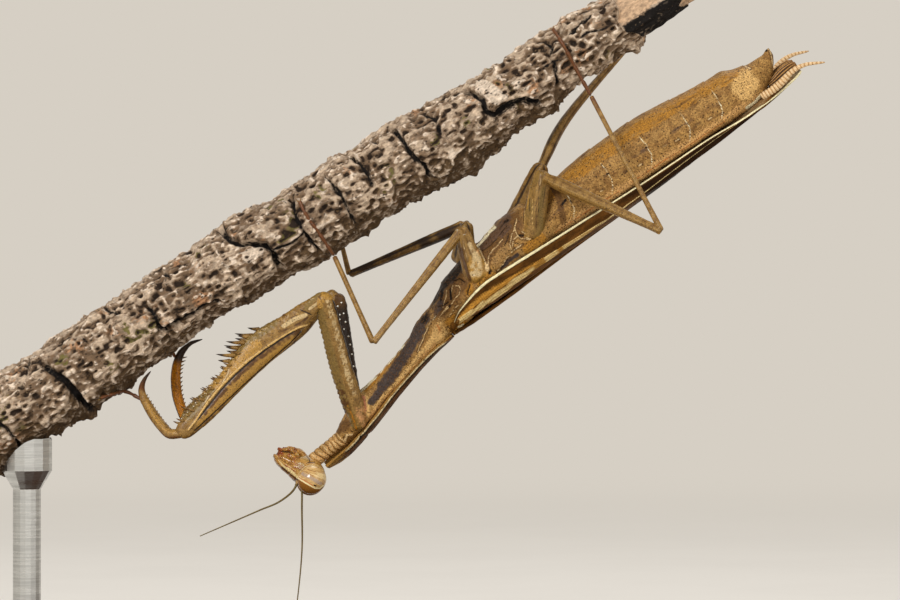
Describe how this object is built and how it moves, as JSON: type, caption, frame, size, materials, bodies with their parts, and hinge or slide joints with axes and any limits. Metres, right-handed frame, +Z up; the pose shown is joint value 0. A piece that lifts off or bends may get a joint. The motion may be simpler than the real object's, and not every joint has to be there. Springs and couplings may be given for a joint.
{
  "type": "praying mantis model",
  "caption": "Life-size female praying mantis, brown form, hanging head down under a cut length of bark-covered branch that a rod holds above a flat base.",
  "frame": {"origin": "middle of the underside of the stand's base", "axes": "+Z up; -X is the end the head points to; -Y is the side the animal's right side faces"},
  "size_m": [0.106, 0.056, 0.0822],
  "materials": {
    "abdomen": "satin speckled cuticle",
    "thorax": "satin cuticle with pale seams",
    "pronotum": "satin cuticle",
    "skin": "soft folded skin",
    "head": "satin cuticle",
    "mouth": "glossy cuticle",
    "eye": "glossy faceted eye",
    "feeler": "fine rings",
    "wing": "leathery, veined",
    "hind_wing": "membrane folded like a fan",
    "cercus": "ringed, finely haired",
    "leg": "satin cuticle",
    "dark_leg": "satin cuticle",
    "tibia": "satin cuticle with dark teeth",
    "tarsus": "satin cuticle",
    "bark": "weathered, cracked bark with bare wood at the upper end",
    "stand_wood": "dark stained hardwood, satin lacquer",
    "stand_metal": "brushed along its length"
  },
  "bodies": {
    "root": {"branch": "bark", "stand_base": "stand_wood", "stand_rod": "stand_metal", "pterothorax": "thorax", "prothorax": "skin", "pronotum": "pronotum", "neck": "skin", "head": "head", "mouthparts": "mouth", "eye_right": "eye", "eye_left": "eye", "antenna_right": "feeler", "antenna_left": "feeler", "fore_right_coxa": "leg", "fore_right_femur": "leg", "fore_right_tibia": "tibia", "fore_right_tarsus": "tarsus", "fore_left_coxa": "dark_leg", "fore_left_femur": "dark_leg", "fore_left_tibia": "tibia", "fore_left_tarsus": "tarsus", "mid_right_coxa": "leg", "mid_right_femur": "leg", "mid_right_tibia": "leg", "mid_right_tarsus": "tarsus", "mid_left_coxa": "dark_leg", "mid_left_femur": "dark_leg", "mid_left_tibia": "dark_leg", "mid_left_tarsus": "tarsus", "hind_right_coxa": "leg", "hind_right_femur": "leg", "hind_right_tibia": "leg", "hind_right_tarsus": "tarsus", "hind_left_coxa": "leg", "hind_left_femur": "leg", "hind_left_tibia": "leg", "hind_left_tarsus": "tarsus", "abdomen": "abdomen", "ovipositor": "abdomen", "cercus_right": "cercus", "cercus_left": "cercus", "tegmen_right": "wing", "tegmen_left": "wing", "hindwing_right": "hind_wing", "hindwing_left": "hind_wing"}
  },
  "joints": []
}
